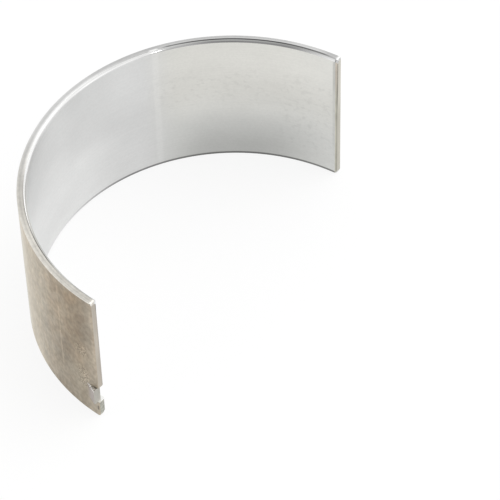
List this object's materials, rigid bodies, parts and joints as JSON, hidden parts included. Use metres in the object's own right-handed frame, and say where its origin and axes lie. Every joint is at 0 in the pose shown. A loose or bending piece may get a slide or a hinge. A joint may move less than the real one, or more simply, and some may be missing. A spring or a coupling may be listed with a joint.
{
  "type": "engine bearing shell",
  "caption": "Thin-walled half-round plain bearing shell with chamfered edges and a pressed locating lug at one joint face; lines the big end of a connecting rod.",
  "frame": {"origin": "bottom centre of the shell's box, standing on its lower side face", "axes": "+Z along the bearing's axis, from the side face near the lug to the other; +Y towards the crown; +X across the joint faces, from the lug's end to the plain end"},
  "size_m": [0.071, 0.0338, 0.028],
  "materials": {
    "bearing_metal": "satin"
  },
  "bodies": {
    "root": {"bearing_shell": "bearing_metal"}
  },
  "joints": []
}
